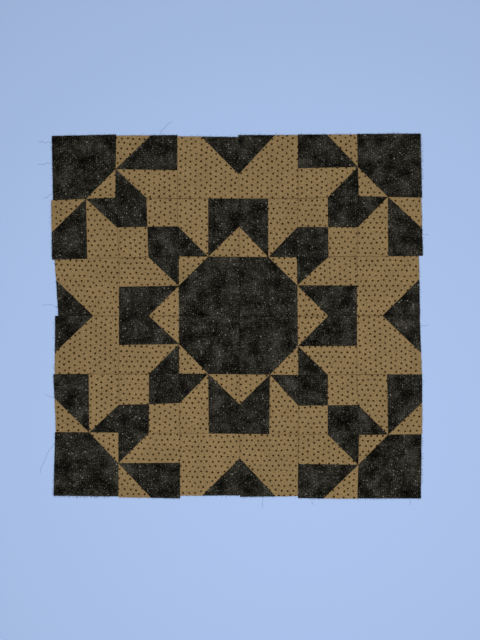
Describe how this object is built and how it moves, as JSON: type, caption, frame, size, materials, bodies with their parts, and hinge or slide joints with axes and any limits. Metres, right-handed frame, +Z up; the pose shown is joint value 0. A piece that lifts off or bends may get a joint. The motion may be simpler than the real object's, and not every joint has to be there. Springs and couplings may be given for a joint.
{
  "type": "quilt block",
  "caption": "Pieced patchwork quilt block with raw edges, one layer of dark and tan cotton in a star layout, lying flat.",
  "frame": {"origin": "bottom centre of the bounding box, on the surface that the block lies on", "axes": "+Z up out of the block's face, +Y towards its top edge in the picture, +X towards its right edge"},
  "size_m": [0.6298, 0.6184, 0.0017],
  "materials": {
    "pieced_cotton": "matte plain-weave quilting cotton in two prints: dark charcoal brown with pale specks, and tan with small dark pin dots"
  },
  "bodies": {
    "root": {"quilt_top": "pieced_cotton"}
  },
  "joints": []
}
